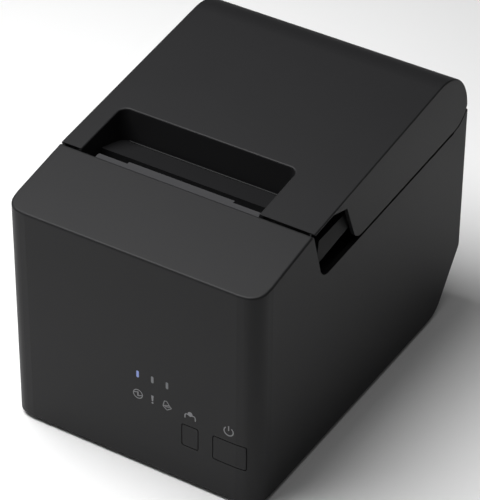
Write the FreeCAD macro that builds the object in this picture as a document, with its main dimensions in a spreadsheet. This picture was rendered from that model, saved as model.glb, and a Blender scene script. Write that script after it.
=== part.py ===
import FreeCAD
import Part
import Sketcher
import math
import os

# Receipt printer with a hinged roll cover. X runs right, Y to the rear, Z up; sizes in mm and degrees.
DIMENSIONS = {
    # Case
    "case_width": 140, "case_depth": 199, "overall_height": 146, "foot_height": 2.5,
    "case_wall": 2.5, "corner_radius": 9, "corner_blend": 12, "corner_inset": 1, "blend_radius": 50, "rear_corner_radius": 1.5,
    "edge_rounding": 1.2,
    "front_edge_drop": 20.5, "panel_depth": 47.8, "seam_gap": 1.3, "seam_lean": 16.3,
    "side_edge_drop": 43.5, "side_edge_slope": 2.99, "side_gap": 1.5,
    "rear_wall_drop": 30, "chamfer_height": 34.5, "chamfer_depth": 23.5, "chamfer_rounding": 14,
    "bay_side": 10, "bay_height": 32, "bay_depth": 36.3,
    # Roll cover
    "cover_slope": 5.95, "cover_rear_inset": 1.2, "cover_arc_radius": 28, "cover_wall": 2.5, "skirt": 2,
    "hinge_radius": 13.6, "hinge_inset": 13.3, "hinge_gap": 0.9, "hinge_pin_radius": 2.5, "running_gap": 0.06,
    "recess_left_side": 11.5, "recess_right_side": 30, "recess_depth": 36.2, "recess_floor_drop": 27.3,
    "recess_corner": 4.5, "rim_rounding": 0.8, "notch_depth": 30.1, "notch_rear_lean": 18.5, "notch_corner": 8,
    "notch_drop": 4, "notch_flat": 17, "notch_ledge": 1,
    "cover_edge_rounding": 0.8,
    # Paper path
    "paper_left_gap": 6.7, "paper_right_gap": 3.3, "platen_radius": 6.5, "platen_setback": 21.8, "platen_drop": 43.8,
    "platen_shaft_radius": 2.5, "bushing_radius": 4, "head_tilt": 20, "ramp_setback": 16.7, "ramp_rise": 6, "bead_radius": 0.5,
    "bucket_end_gap": 0.55, "bucket_wall": 2, "bucket_offset": 4.85, "bucket_floor_gap": 11, "bucket_front_height": 88,
    # Mechanism
    "chassis_sheet": 1.5, "chassis_left_side": 17, "chassis_right_side": 33, "chassis_drop": 40,
    "gear_module": 0.6, "gear_width": 3, "gear_gap": 3, "gear_pitch": 4,
    "platen_teeth": 36, "small_teeth": 18, "large_teeth": 64, "pinion_teeth": 16,
    "reduction_angle": 233.13, "motor_angle": 211.7, "motor_radius": 16, "motor_length": 21,
    "blade_drop": 35.2, "blade_thickness": 1, "blade_depth": 24, "blade_setback": 7.7, "blade_gap": 0.3,
    "rack_teeth_count": 9, "rack_pinion_teeth": 12, "cutter_teeth": 30, "cutter_pinion_teeth": 10,
    "cutter_advance": 6.3, "cutter_shaft_radius": 1.5, "cutter_motor_angle": 200, "cutter_motor_radius": 10,
    # Latch
    "latch_setback": 43.7, "latch_top_gap": 26, "latch_shaft_radius": 2.5, "latch_drop": 19.5, "catch_pin_radius": 1.5,
    "lever_face_inset": 3.4, "lever_thickness": 9.6, "lever_length": 36, "lever_lip": 2, "lever_rise": 2.5, "lip_rounding": 0.5,
    # Front controls
    "lens_width": 1.4, "lens_height": 4, "lens_gap": 0.05, "lens_z": 56.3, "lens_side": 66.3, "lens_pitch": 8.2,
    "feed_side": 37.3, "feed_z": 30.5, "feed_width": 8.6, "feed_height": 12.5,
    "power_side": 15.55, "power_z": 30.3, "power_width": 17.7, "power_height": 13.7,
    "button_gap": 0.45, "board_setback": 9.5, "board_thickness": 1.6,
    # Bottom
    "plate_thickness": 2.5, "plate_gap": 0.3, "foot_radius": 8, "foot_side": 15, "foot_front_inset": 14.5,
    "foot_rear_inset": 51.5, "screw_side": 6.2, "screw_front_inset": 29.5, "screw_rear_inset": 69.5, "screw_radius": 1.5,
}

doc = FreeCAD.newDocument("receipt_printer")
sheet = doc.addObject("Spreadsheet::Sheet", "dims")
for row, (alias, number) in enumerate(DIMENSIONS.items(), 1):
    sheet.set(f"A{row}", alias)
    sheet.set(f"B{row}", str(number))
    sheet.setAlias(f"B{row}", alias)
doc.recompute()


class Size:
    """A length or angle that keeps its spreadsheet formula together with its present value."""

    def __init__(self, text, value):
        self.text = text
        self.value = value

    def __add__(self, other):
        other = size(other)
        return Size(f"({self.text} + {other.text})", self.value + other.value)

    def __sub__(self, other):
        other = size(other)
        return Size(f"({self.text} - {other.text})", self.value - other.value)

    def __mul__(self, other):
        other = size(other)
        return Size(f"({self.text} * {other.text})", self.value * other.value)

    def __truediv__(self, other):
        other = size(other)
        return Size(f"({self.text} / {other.text})", self.value / other.value)

    def __radd__(self, other):
        return size(other) + self

    def __rsub__(self, other):
        return size(other) - self

    def __rmul__(self, other):
        return size(other) * self

    def __neg__(self):
        return Size(f"(0 - {self.text})", -self.value)


def size(number):
    if isinstance(number, Size):
        return number
    if number < 0:
        return Size(f"(0 - {-number:.6f})", float(number))
    return Size(f"{number:.6f}", float(number))


def tan(angle):
    return Size(f"tan({angle.text})", math.tan(math.radians(angle.value)))


def cos(angle):
    return Size(f"cos({angle.text})", math.cos(math.radians(angle.value)))


def sin(angle):
    return Size(f"sin({angle.text})", math.sin(math.radians(angle.value)))


def root(number):
    return Size(f"sqrt({number.text})", math.sqrt(number.value))


class Dims:
    pass


d = Dims()
for alias in DIMENSIONS:
    setattr(d, alias, Size(f"dims.{alias}", float(sheet.get(alias))))


# Building blocks, each bound to the sheet through its formulas
def bind(item, target, amount):
    item.setExpression(target, size(amount).text)


def place(item, x, y, z):
    bind(item, "Placement.Base.x", x)
    bind(item, "Placement.Base.y", y)
    bind(item, "Placement.Base.z", z)


def box(name, x0, x1, y0, y1, z0, z1):
    item = doc.addObject("Part::Box", name)
    bind(item, "Length", size(x1) - x0)
    bind(item, "Width", size(y1) - y0)
    bind(item, "Height", size(z1) - z0)
    place(item, x0, y0, z0)
    return item


def rod(name, axis, first, second, start, end, radius):
    item = doc.addObject("Part::Cylinder", name)
    bind(item, "Radius", radius)
    bind(item, "Height", size(end) - start)
    if axis == "X":
        turn = FreeCAD.Rotation(FreeCAD.Vector(0, 1, 0), 90)
        base = (start, first, second)
    elif axis == "Y":
        turn = FreeCAD.Rotation(FreeCAD.Vector(1, 0, 0), -90)
        base = (first, start, second)
    else:
        turn = FreeCAD.Rotation()
        base = (first, second, start)
    item.Placement = FreeCAD.Placement(FreeCAD.Vector(), turn)
    place(item, *base)
    return item


def prism(name, plane, points, start, end):
    """A padded sketch: YZ outlines run along X, XZ outlines along Y and XY outlines along Z."""
    body = doc.addObject("PartDesign::Body", name)
    sketch = body.newObject("Sketcher::SketchObject", name + "_sketch")
    support = [f for f in body.Origin.OriginFeatures if f.Role == plane + "_Plane"][0]
    sketch.AttachmentSupport = (support, [""])
    sketch.MapMode = "FlatFace"
    offset = -size(end) if plane == "XZ" else size(start)
    bind(sketch, "AttachmentOffset.Base.z", offset)
    corners = [FreeCAD.Vector(size(a).value, size(b).value, 0) for a, b in points]
    count = len(corners)
    for i in range(count):
        sketch.addGeometry(Part.LineSegment(corners[i], corners[(i + 1) % count]), False)
    for i in range(count):
        sketch.addConstraint(Sketcher.Constraint("Coincident", i, 2, (i + 1) % count, 1))
    for i, (a, b) in enumerate(points):
        for kind, amount in (("DistanceX", size(a)), ("DistanceY", size(b))):
            index = sketch.addConstraint(Sketcher.Constraint(kind, -1, 1, i, 1, amount.value))
            sketch.renameConstraint(index, f"{kind[-1].lower()}_of_{i}")
            bind(sketch, f"Constraints.{kind[-1].lower()}_of_{i}", amount)
    pad = body.newObject("PartDesign::Pad", name + "_pad")
    pad.Profile = sketch
    bind(pad, "Length", size(end) - start)
    sketch.Visibility = False
    return body


def fuse(name, *items):
    item = doc.addObject("Part::MultiFuse", name)
    item.Shapes = list(items)
    item.Refine = True
    return item


def cut(name, base, *tools):
    item = doc.addObject("Part::Cut", name)
    item.Base = base
    item.Tool = tools[0] if len(tools) == 1 else fuse(name + "_tools", *tools)
    item.Refine = True
    return item


def common(name, first, second):
    item = doc.addObject("Part::MultiCommon", name)
    item.Shapes = [first, second]
    return item


def group(name, *items):
    item = doc.addObject("Part::Compound", name)
    item.Links = list(items)
    return item


def rounded(name, base, *choices):
    """Fillets the edges along one axis whose two ends both pass a test."""
    doc.recompute()
    picked = []
    for radius, axis, test in choices:
        for index, edge in enumerate(base.Shape.Edges, 1):
            ends = [v.Point for v in edge.Vertexes]
            if len(ends) == 2 and all(test(p) for p in ends):
                run = ends[1] - ends[0]
                if abs(getattr(run, axis)) > 0.9 * run.Length:
                    picked.append((index, radius.value, radius.value))
    item = doc.addObject("Part::Fillet", name)
    item.Base = base
    item.Edges = picked
    return item


def eased(name, base, radius, test):
    """Fillets the edges whose ends and middle all pass a test, straight or curved."""
    doc.recompute()
    picked = []
    for index, edge in enumerate(base.Shape.Edges, 1):
        middle = edge.valueAt((edge.FirstParameter + edge.LastParameter) / 2)
        if all(test(p) for p in [v.Point for v in edge.Vertexes] + [middle]):
            picked.append((index, radius.value, radius.value))
    item = doc.addObject("Part::Fillet", name)
    item.Base = base
    item.Edges = picked
    return item


def near(number, amount):
    return abs(number - size(amount).value) < 0.01


def feature(name, shape):
    item = doc.addObject("Part::Feature", name)
    item.Shape = shape
    return item


parts = []


def part(item, label):
    item.Label = label
    parts.append(item)
    return item


# Shared positions
half = d.case_width / 2
front = -d.case_depth / 2
rear = d.case_depth / 2
inside = half - d.case_wall
seam_y = front + d.panel_depth
cover_rear = rear - d.cover_rear_inset
front_edge_z = d.overall_height - d.front_edge_drop
arc_y = cover_rear - d.cover_arc_radius
arc_z = d.overall_height - d.cover_arc_radius
seam_z = arc_z + d.cover_arc_radius / cos(d.cover_slope) - (arc_y - seam_y) * tan(d.cover_slope)
panel_slope = (seam_z - front_edge_z) / d.panel_depth
plate_top = d.foot_height + d.plate_thickness


def cover_z(y):
    return seam_z + (y - seam_y) * tan(d.cover_slope)


def cover_under(y):
    return cover_z(y) - d.cover_wall / cos(d.cover_slope)


def panel_z(y):
    return front_edge_z + (y - front) * panel_slope


def edge_z(y):
    return d.overall_height - d.side_edge_drop + (y - seam_y) * tan(d.side_edge_slope)


hinge_y = cover_rear - d.hinge_inset
hinge_z = edge_z(hinge_y) + d.side_gap + d.hinge_radius / cos(d.side_edge_slope)
rear_wall_z = d.overall_height - d.rear_wall_drop
bay_front = rear - d.bay_depth
bay_half = half - d.bay_side
chassis_left = -half + d.chassis_left_side
chassis_right = half - d.chassis_right_side
paper_left = chassis_left + d.paper_left_gap
paper_right = chassis_right - d.paper_right_gap
gear_plane = chassis_right + d.gear_gap
second_plane = gear_plane + d.gear_pitch
platen_y = seam_y + d.platen_setback
platen_z = d.overall_height - d.platen_drop
latch_y = seam_y + d.latch_setback
latch_z = d.overall_height - d.latch_top_gap
blade_z = d.overall_height - d.blade_drop
ramp_front_y = seam_y + d.ramp_setback
recess_floor_z = d.overall_height - d.recess_floor_drop
recess_left = half - d.recess_left_side
recess_right = half - d.recess_right_side
board_y = front + d.board_setback
screw_x = half - d.screw_side
screw_rows = (front + d.screw_front_inset, rear - d.screw_rear_inset)
above = d.overall_height + 24

# Case
panel_end = seam_y - d.seam_gap / 2
lean_run = (panel_z(panel_end) - edge_z(seam_y)) * tan(d.seam_lean)
notch_y = panel_end + lean_run
case_block = prism("case_block", "YZ", [
    (front, d.foot_height), (front, front_edge_z), (panel_end, panel_z(panel_end)),
    (notch_y, edge_z(notch_y)), (hinge_y, edge_z(hinge_y)), (hinge_y, rear_wall_z),
    (rear, rear_wall_z), (rear, d.chamfer_height), (rear - d.chamfer_depth, d.foot_height)], -half, half)
wedges = []
for name, side in (("left", -1), ("right", 1)):
    wedges.append(prism(name + "_corner_wedge", "XY", [
        ((half - d.corner_blend) * side, front), ((half - d.corner_inset) * side, front + d.corner_inset),
        (half * side, front + d.corner_blend), ((half + 1) * side, front + d.corner_blend),
        ((half + 1) * side, front - 1), ((half - d.corner_blend) * side, front - 1)], 0, above))
case_plan = cut("case_plan", case_block, *wedges)
case_round = rounded(
    "case_round", case_plan,
    (d.corner_radius, "z", lambda p: near(p.y, front + d.corner_inset) and near(abs(p.x), half - d.corner_inset)),
    (d.blend_radius, "z", lambda p: near(p.y, front) and near(abs(p.x), half - d.corner_blend)),
    (d.blend_radius, "z", lambda p: near(p.y, front + d.corner_blend) and near(abs(p.x), half)),
    (d.rear_corner_radius, "z", lambda p: near(p.y, rear) and near(abs(p.x), half)),
    (d.chamfer_rounding, "x", lambda p: near(p.y, rear) and near(p.z, d.chamfer_height)),
    (d.chamfer_rounding, "x", lambda p: near(p.y, rear - d.chamfer_depth)),
    (d.notch_corner, "x", lambda p: near(p.y, notch_y) and near(p.z, edge_z(notch_y))))
case_solid = rounded(
    "case_solid", case_round,
    (d.edge_rounding, "x", lambda p: near(p.y, front) and near(p.z, front_edge_z)),
    (d.edge_rounding, "x", lambda p: near(p.y, panel_end) and near(p.z, panel_z(panel_end))))
chamfer_in = d.case_wall * root(d.chamfer_depth * d.chamfer_depth
                                + (d.chamfer_height - d.foot_height) * (d.chamfer_height - d.foot_height)) / (
    d.chamfer_height - d.foot_height)
chamfer_rate = d.chamfer_depth / (d.chamfer_height - d.foot_height)
roof_drop = d.case_wall * root(panel_slope * panel_slope + 1)
cavity_block = prism("cavity_block", "YZ", [
    (front + d.case_wall, 0), (front + d.case_wall, panel_z(front + d.case_wall) - roof_drop),
    (panel_end, panel_z(panel_end) - roof_drop), (panel_end, above), (rear - d.case_wall, above),
    (rear - d.case_wall, d.chamfer_height + (chamfer_in - d.case_wall) / chamfer_rate),
    (rear - d.chamfer_depth - chamfer_in - d.foot_height * chamfer_rate, 0)], -inside, inside)
cavity = rounded(
    "cavity", cavity_block,
    (d.corner_radius - d.case_wall, "z", lambda p: near(p.y, front + d.case_wall) and near(abs(p.x), inside)))
scallop = rod("scallop", "X", hinge_y, hinge_z, -half - 1, half + 1, d.hinge_radius + d.hinge_gap)
case_shell = cut("case_shell", case_solid, cavity, scallop)
bay_opening = box("bay_opening", -bay_half, bay_half, bay_front + 3, rear + 1, 0, d.bay_height)
bay_roof = box("bay_roof", -inside - 0.5, inside + 0.5, bay_front + 1.2, rear - d.case_wall + 0.5,
               d.bay_height + 2, d.bay_height + 4)
bay_left = box("bay_left", -bay_half - 2, -bay_half, bay_front + 1.2, rear - d.case_wall,
               d.chamfer_height - 6, d.bay_height + 2.5)
bay_right = box("bay_right", bay_half, bay_half + 2, bay_front + 1.2, rear - d.case_wall,
                d.chamfer_height - 6, d.bay_height + 2.5)
shelf_z = edge_z(notch_y) - 1
pocket_x = half - 17
shelf = box("pocket_shelf", pocket_x, inside + 0.5, panel_end - 4.5, latch_y, shelf_z - 2, shelf_z)
shelf_front = box("pocket_front", pocket_x, inside + 0.5, panel_end - 4.5, panel_end - 3, shelf_z - 1,
                  panel_z(panel_end - 4.5) - 1)
pocket_rear = latch_y - 6
pocket_wall = prism("pocket_wall", "YZ", [
    (panel_end - 4, shelf_z - 1), (pocket_rear, shelf_z - 1), (pocket_rear, cover_under(pocket_rear) - d.side_gap),
    (panel_end - 4, cover_under(panel_end - 4) - d.side_gap)], half - 15.5, half - 13.5)
lip_top = panel_z(panel_end) - d.edge_rounding - 0.2
lip_low = edge_z(notch_y) + 12


def seam_face(z):
    return panel_end + (panel_z(panel_end) - z) * tan(d.seam_lean)


lip_reach = d.seam_gap - 0.35
seam_lip = prism("seam_lip", "YZ", [
    (seam_face(lip_top) - 1, lip_top), (seam_face(lip_top) + lip_reach, lip_top),
    (seam_face(lip_low) + lip_reach, lip_low), (seam_face(lip_low) - 1, lip_low)], -half, -half + 1.8)
bosses = []
for side in (-1, 1):
    for y in screw_rows:
        bosses.append(rod("case_boss", "Z", screw_x * side, y, plate_top, 25, 4))
panel_posts = []
post_columns = (half - 71, half - 13)
post_rows = (17, 61)
for x in post_columns:
    for z in post_rows:
        panel_posts.append(rod("panel_post", "Y", x, z, front + d.case_wall - 0.5, board_y, 3))
case_body = fuse("case_body", case_shell, bay_roof, bay_left, bay_right, shelf, shelf_front, pocket_wall, seam_lip, *bosses, *panel_posts)


def tablet(name, x, z, width, height, y0, y1, radius):
    block = box(name + "_block", x - width / 2, x + width / 2, y0, y1, z - height / 2, z + height / 2)
    return rounded(name, block, (size(radius), "y", lambda p: True))


case_holes = [bay_opening]
lens_x = half - d.lens_side
feed_x = half - d.feed_side
power_x = half - d.power_side
for i in range(3):
    case_holes.append(tablet(f"lens_hole_{i}", lens_x + d.lens_pitch * i, d.lens_z, d.lens_width + d.lens_gap * 2,
                             d.lens_height + d.lens_gap * 2, front - 1, front + d.case_wall + 1,
                             d.lens_width / 2 - d.lens_gap))
case_holes.append(tablet("feed_hole", feed_x, d.feed_z, d.feed_width + d.button_gap * 2,
                         d.feed_height + d.button_gap * 2, front - 1, front + d.case_wall + 1, 1.2))
case_holes.append(tablet("power_hole", power_x, d.power_z, d.power_width + d.button_gap * 2,
                         d.power_height + d.button_gap * 2, front - 1, front + d.case_wall + 2, 1.2))
for side in (-1, 1):
    for y in screw_rows:
        case_holes.append(rod("boss_hole", "Z", screw_x * side, y, 0, 16, d.screw_radius))
for x in post_columns:
    for z in post_rows:
        case_holes.append(rod("post_hole", "Y", x, z, board_y - 5, board_y + 1, 1))
part(cut("body_case_item", case_body, *case_holes), "body_case")

# Bottom plate, feet and screws
plate = box("plate", -inside + d.plate_gap, inside - d.plate_gap, front + d.case_wall + d.plate_gap,
            bay_front + 1.2, d.foot_height, plate_top)
plate_round = rounded("plate_round", plate, (
    d.corner_radius - d.case_wall, "z", lambda p: near(p.y, front + d.case_wall + d.plate_gap)))
plate_holes = []
screws = []
feet = []
for side in (-1, 1):
    for y in screw_rows:
        x = screw_x * side
        plate_holes.append(rod("plate_hole", "Z", x, y, d.foot_height - 1, plate_top + 1, d.screw_radius + 0.2))
        plate_holes.append(rod("head_hole", "Z", x, y, d.foot_height - 1, d.foot_height + 1.5, 3.2))
        head = rod("screw_head", "Z", x, y, d.foot_height + 0.1, d.foot_height + 1.5, 3)
        screws.append(fuse("base_screw", head, rod("screw_shank", "Z", x, y, d.foot_height + 1, 14, d.screw_radius)))
    for y in (front + d.foot_front_inset, rear - d.foot_rear_inset):
        feet.append(rod("foot_disc", "Z", (half - d.foot_side) * side, y, 0, d.foot_height, d.foot_radius))
board_left = chassis_left + 11
board_right = chassis_right - 7
board_rear = bay_front - 1.5
board_front = board_rear - 61.7
standoffs = []
for x in (board_left + 4, board_right - 4):
    for y in (board_front + 6, board_rear - 11.7):
        standoffs.append(rod("standoff", "Z", x, y, plate_top - 0.5, plate_top + 1.5, 3))
part(cut("base_plate_item", fuse("plate_body", plate_round, *standoffs), *plate_holes), "base_plate")
part(group("rubber_feet_item", *feet), "rubber_feet")
part(group("base_screws_item", *screws), "base_screws")

# Main board with its sockets in the rear bay
board_z = plate_top + 1.5
board_top = board_z + d.board_thickness
part(box("main_board_item", board_left, board_right, board_front, board_rear, board_z, board_top), "main_board")
chips = [box("processor", board_left + 24, board_left + 44, board_front + 12, board_front + 32, board_top,
             board_top + 1.6),
         box("driver", board_left + 50, board_left + 60, board_front + 24, board_front + 34, board_top,
             board_top + 1.6),
         rod("capacitor", "Z", board_left + 54, board_front + 7, board_top, board_top + 7, 4),
         rod("capacitor", "Z", board_left + 64, board_front + 16, board_top, board_top + 7, 4),
         box("coil", board_left + 6, board_left + 16, board_front + 16, board_front + 26, board_top, board_top + 5)]
part(group("board_parts_item", *chips), "board_parts")
socket_y = bay_front + 2
sockets = (("usb_port", board_left + 12, 12, 11, 8.4, 7.8, 6.5),
           ("drawer_port", board_left + 34, 14, 13, 10, 7, 12),
           ("power_inlet", board_left + 58, 16, 13, 12, 9, 10))
panel_holes = []
for label, x, width, height, mouth_width, mouth_height, depth in sockets:
    block = box(label + "_block", x - width / 2, x + width / 2, bay_front - 14, socket_y, board_top, board_top + height)
    mid = board_top + height / 2
    mouth = box(label + "_mouth", x - mouth_width / 2, x + mouth_width / 2, socket_y - depth, socket_y + 1,
                mid - mouth_height / 2, mid + mouth_height / 2)
    part(cut(label + "_item", block, mouth), label)
    panel_holes.append(box(label + "_hole", x - width / 2 - 0.3, x + width / 2 + 0.3, bay_front - 2, bay_front + 3,
                           board_top - 0.3, board_top + height + 0.3))
panel_sheet = box("panel_sheet", -inside + d.plate_gap, inside - d.plate_gap, bay_front - 0.1, bay_front + 1.1,
                  plate_top, d.bay_height + 1.9)
part(cut("connector_panel_item", panel_sheet, *panel_holes), "connector_panel")

# Front controls
board_back = board_y + d.board_thickness
panel_card = box("panel_card", half - 75, half - 9, board_y, board_back, 13, 65)
post_screws = []
card_holes = []
for x in post_columns:
    for z in post_rows:
        head = rod("post_screw_head", "Y", x, z, board_back, board_back + 1.5, 2.4)
        shank = rod("post_screw_shank", "Y", x, z, board_y - 4, board_back + 0.5, 1)
        post_screws.append(fuse("post_screw", head, shank))
        card_holes.append(rod("card_hole", "Y", x, z, board_y - 1, board_back + 1, 1.2))
part(cut("panel_board_item", panel_card, *card_holes), "panel_board")
part(group("panel_screws_item", *post_screws), "panel_screws")
lenses = []
for i in range(3):
    lenses.append(tablet(f"lens_{i}", lens_x + d.lens_pitch * i, d.lens_z, d.lens_width, d.lens_height,
                         front + 0.05, board_y, d.lens_width / 2 - d.lens_gap * 2))
part(lenses[0], "power_lens")
part(group("status_lenses_item", *lenses[1:]), "status_lenses")
switches = []
for label, x, z, width, height, flange_right in (
        ("feed", feed_x, d.feed_z, d.feed_width, d.feed_height, 1.0),
        ("power", power_x, d.power_z, d.power_width, d.power_height, -2.6)):
    cap_block = tablet(label + "_cap_block", x, z, width, height, front - 1, front + d.case_wall + 0.2, 0.9)
    cap = common(label + "_cap", cap_block, case_solid)
    flange = box(label + "_flange", x - width / 2 - 1, x + width / 2 + flange_right, front + d.case_wall + 0.2,
                 front + d.case_wall + 1.2, z - height / 2 - 1, z + height / 2 + 1)
    stem = box(label + "_stem", x - 2, x + 2, front + d.case_wall + 1, board_y - 4.4, z - 2, z + 2)
    part(fuse(label + "_button_item", cap, flange, stem), label + "_button")
    switches.append(fuse(label + "_switch", box(label + "_switch_block", x - 3, x + 3, board_y - 3, board_y,
                         z - 3, z + 3), rod(label + "_plunger", "Y", x, z, board_y - 3.4, board_y - 2, 1.5)))
part(group("tact_switches_item", *switches), "tact_switches")

# Roll cover
cover_front = seam_y + d.seam_gap / 2
skirt_y = cover_front + lean_run


def skirt_z(y):
    return edge_z(y) + d.side_gap


cover_block = prism("cover_block", "YZ", [
    (cover_front, cover_z(cover_front)), (cover_rear, cover_z(cover_rear)), (cover_rear, skirt_z(cover_rear)),
    (skirt_y, skirt_z(skirt_y))], -half, half)
cover_round = rounded(
    "cover_round", cover_block,
    (d.cover_arc_radius, "x", lambda p: near(p.y, cover_rear) and near(p.z, cover_z(cover_rear))),
    (d.notch_corner, "x", lambda p: near(p.y, skirt_y) and near(p.z, skirt_z(skirt_y))))
corner_block = box("corner_block", -half - 1, half + 1, hinge_y, cover_rear + 1, skirt_z(hinge_y) - 2, hinge_z)
corner_keep = rod("corner_keep", "X", hinge_y, hinge_z, -half - 2, half + 2, d.hinge_radius)
cover_eased = eased("cover_eased", cover_round, d.cover_edge_rounding, lambda p: (
    near(abs(p.x), half) and p.z > arc_z.value - 0.01))
cover_solid = cut("cover_solid", cover_eased, cut("cover_corner", corner_block, corner_keep))
cover_in = half - d.skirt
below = d.overall_height - 86
hollow_block = prism("hollow_block", "YZ", [
    (cover_front - 10, below), (cover_front - 10, cover_under(cover_front - 10)),
    (cover_rear - d.cover_wall, cover_under(cover_rear - d.cover_wall)), (cover_rear - d.cover_wall, below)],
    -cover_in, cover_in)
hollow = rounded("hollow", hollow_block, (
    d.cover_arc_radius - d.cover_wall, "x",
    lambda p: near(p.y, cover_rear - d.cover_wall) and p.z > hinge_z.value))
notch_rear_y = seam_y + d.notch_depth
notch_run = (cover_under(notch_rear_y) - skirt_z(notch_rear_y)) * tan(d.notch_rear_lean)
notch_low = notch_rear_y + notch_run
notch_mid_y = seam_y + d.notch_flat
notch = prism("notch", "YZ", [
    (cover_front - 2, below), (cover_front - 2, cover_z(cover_front - 2) - d.notch_ledge),
    (notch_mid_y, cover_z(notch_mid_y) - d.notch_ledge), (notch_rear_y, cover_under(notch_rear_y) - d.notch_drop), (notch_low, skirt_z(notch_low)), (notch_low + 0.5, below)],
    cover_in - 1, half + 1)
cover_shell = rounded("cover_shell", cut("cover_hollowed", cover_solid, hollow, notch), (
    d.notch_corner, "x", lambda p: near(p.y, notch_low) and near(p.z, skirt_z(notch_low))))
recess_back = seam_y + d.recess_depth
tub = prism("tub", "YZ", [
    (cover_front, cover_z(cover_front) - 1), (recess_back + 2, cover_z(recess_back + 2) - 1),
    (recess_back + 2, recess_floor_z - 2.7), (cover_front, recess_floor_z - 2.7)],
    -recess_left - 2, recess_right + 2)
lugs = []
lug_mid = d.cover_arc_radius - d.cover_wall / 2


def arc_height(y):
    return arc_z + root(lug_mid * lug_mid - (y - arc_y) * (y - arc_y))


for name, x in (("left", -half + 6.5), ("right", half - 11)):
    plate_part = prism(name + "_lug_plate", "YZ", [
        (hinge_y - 6, hinge_z), (hinge_y - 6, arc_height(hinge_y - 6)), (hinge_y, arc_height(hinge_y)),
        (hinge_y + 6, arc_height(hinge_y + 6)), (hinge_y + 6, hinge_z)], x, x + 4.5)
    lugs.append(plate_part)
    lugs.append(rod(name + "_lug_eye", "X", hinge_y, hinge_z, x, x + 4.5, 6))
ribs = []
for x in (-half + 15, half - 20):
    ribs.append(box("latch_rib", x, x + 2, latch_y - 4, latch_y + 4, latch_z - 4.5, cover_z(latch_y - 4) - 1))
cover_body = fuse("cover_body", cover_shell, tub, *lugs, *ribs)
recess_block = box("recess_block", -recess_left, recess_right, cover_front - 5, recess_back, below, above)
recess = rounded("recess", recess_block, (d.recess_corner, "z", lambda p: near(p.y, recess_back)))
lug_bore = rod("lug_bore", "X", hinge_y, hinge_z, -inside, inside, d.hinge_pin_radius + d.running_gap)
rib_bore = rod("rib_bore", "X", latch_y, latch_z, -half + 13, half - 16, d.latch_shaft_radius + d.running_gap)
cover_cut = cut("cover_cut", cover_body, recess, lug_bore, rib_bore)


def on_rim(p):
    return -recess_left.value - 0.01 < p.x < recess_right.value + 0.01 and near(p.z, cover_z(size(p.y)))


part(eased("roll_cover_item", cover_cut, d.rim_rounding, on_rim), "roll_cover")

# Hinge brackets and pins on the case sides
brackets = []
pins = []
pin_end = half - 11.5
for name, x0, x1, pin0, pin1 in (("left", -inside, -inside + 3, -inside, -pin_end),
                                 ("right", inside - 3, inside, pin_end, inside)):
    arm = prism(name + "_bracket_arm", "YZ", [
        (hinge_y - 40, hinge_z - 40), (hinge_y - 25, hinge_z - 40), (hinge_y - 16, hinge_z - 11),
        (hinge_y - 4, hinge_z - 5.5), (hinge_y - 4, hinge_z + 5.5), (hinge_y - 8, hinge_z + 5.5),
        (hinge_y - 40, hinge_z - 14)], x0, x1)
    eye = rod(name + "_bracket_eye", "X", hinge_y, hinge_z, x0, x1, 6)
    hole = rod(name + "_bracket_hole", "X", hinge_y, hinge_z, -half, half, d.hinge_pin_radius)
    brackets.append(cut(name + "_bracket", fuse(name + "_bracket_body", arm, eye), hole))
    pins.append(rod(name + "_hinge_pin", "X", hinge_y, hinge_z, pin0, pin1, d.hinge_pin_radius))
part(group("hinge_brackets_item", *brackets), "hinge_brackets")
part(group("hinge_pins_item", *pins), "hinge_pins")

# Paper bucket, open at the top and low at the front
bucket_left = paper_left - 0.75
bucket_right = paper_right + 0.75
outer_radius = (bay_front - platen_y) / 2 - d.bucket_end_gap
inner_radius = outer_radius - d.bucket_wall
bucket_y = (bay_front + platen_y) / 2 + d.bucket_offset
bucket_z = plate_top + d.bucket_floor_gap + outer_radius
trough = fuse("trough", rod("trough_round", "X", bucket_y, bucket_z, bucket_left - d.bucket_wall,
              bucket_right + d.bucket_wall, outer_radius),
              box("trough_rear", bucket_left - d.bucket_wall, bucket_right + d.bucket_wall, bucket_y,
                  bucket_y + outer_radius, bucket_z, d.bucket_front_height + 4))
room = fuse("trough_room", rod("room_round", "X", bucket_y, bucket_z, bucket_left, bucket_right, inner_radius),
            box("room_rear", bucket_left, bucket_right, bucket_y, bucket_y + inner_radius, bucket_z, above))
trough_top = box("trough_top", -half, half, front, rear, d.bucket_front_height, above)
bucket_legs = []
for x in (bucket_left - d.bucket_wall, bucket_right - 2):
    for y in (bucket_y - outer_radius + 10, bucket_y + outer_radius - 28):
        bucket_legs.append(box("bucket_leg", x, x + 4, y, y + 7, plate_top, bucket_z - 25))
part(cut("paper_bucket_item", fuse("bucket_body", trough, *bucket_legs), room, trough_top), "paper_bucket")

# Chassis with open seats for the platen bushings
seat = fuse("seat", rod("seat_round", "X", platen_y, platen_z, -half, half, d.bushing_radius + 0.3),
            prism("seat_mouth", "YZ", [
                (platen_y - d.bushing_radius - 0.3, platen_z), (platen_y + d.bushing_radius + 0.3, platen_z),
                (platen_y + d.bushing_radius + 0.3, platen_z + 30),
                (platen_y - d.bushing_radius - 8, platen_z + 30)], -half, half))
pin_y = latch_y + 1
pin_z = latch_z - d.latch_drop
chassis_front = platen_y - 36.1
chassis_rear = platen_y + 27.9
chassis_top = d.overall_height - d.chassis_drop
sides = []
for name, x in (("left", chassis_left - d.chassis_sheet), ("right", chassis_right)):
    sides.append(prism(name + "_side", "YZ", [
        (chassis_front, plate_top), (chassis_rear, plate_top), (chassis_rear, chassis_top), (chassis_front, chassis_top)],
        x, x + d.chassis_sheet))
blade_floor = blade_z - d.blade_gap
crossbar = box("crossbar", chassis_left - 0.5, chassis_right + 0.5, chassis_front, chassis_front + 1.5,
               blade_floor - 15.5, blade_floor - 1.3)
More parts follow.
